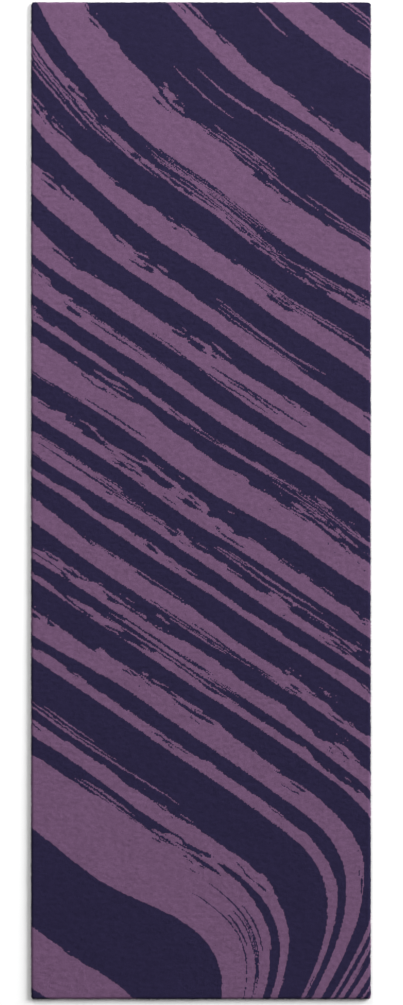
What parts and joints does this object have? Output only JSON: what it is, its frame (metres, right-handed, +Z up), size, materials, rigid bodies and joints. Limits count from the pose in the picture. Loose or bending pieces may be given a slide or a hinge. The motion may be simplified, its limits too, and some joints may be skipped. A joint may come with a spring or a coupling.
{
  "type": "runner rug",
  "caption": "Long narrow hand-tufted rug in two colours of cut pile with sweeping diagonal strokes, a turned hem, cloth backing and taped edges.",
  "frame": {"origin": "centre of the underside, on the plane the rug rests on", "axes": "+X across the rug, +Y along it towards the head, +Z up out of the pile"},
  "size_m": [0.8, 2.35, 0.012],
  "materials": {
    "pile_navy": "short cut pile, dyed dark navy",
    "pile_purple": "short cut pile, dyed dusty purple",
    "base_cloth": "plain-woven unbleached cotton",
    "latex": "dried latex adhesive",
    "scrim": "open woven scrim",
    "backing": "plain-woven cotton canvas",
    "tape": "twill cotton tape, dyed navy",
    "thread": "twisted sewing thread",
    "label": "woven satin label, blank"
  },
  "bodies": {
    "root": {"pile_navy": "pile_navy", "pile_purple": "pile_purple", "primary_cloth": "base_cloth", "latex_coat": "latex", "reinforcing_scrim": "scrim", "backing_cloth": "backing", "care_label": "label", "care_label_thread": "thread", "binding_tape_left": "tape", "binding_tape_right": "tape", "binding_tape_head": "tape", "binding_tape_foot": "tape", "binding_thread_left_outer": "thread", "binding_thread_left_inner": "thread", "binding_thread_right_outer": "thread", "binding_thread_right_inner": "thread", "binding_thread_head_outer": "thread", "binding_thread_head_inner": "thread", "binding_thread_foot_outer": "thread", "binding_thread_foot_inner": "thread"}
  },
  "joints": []
}
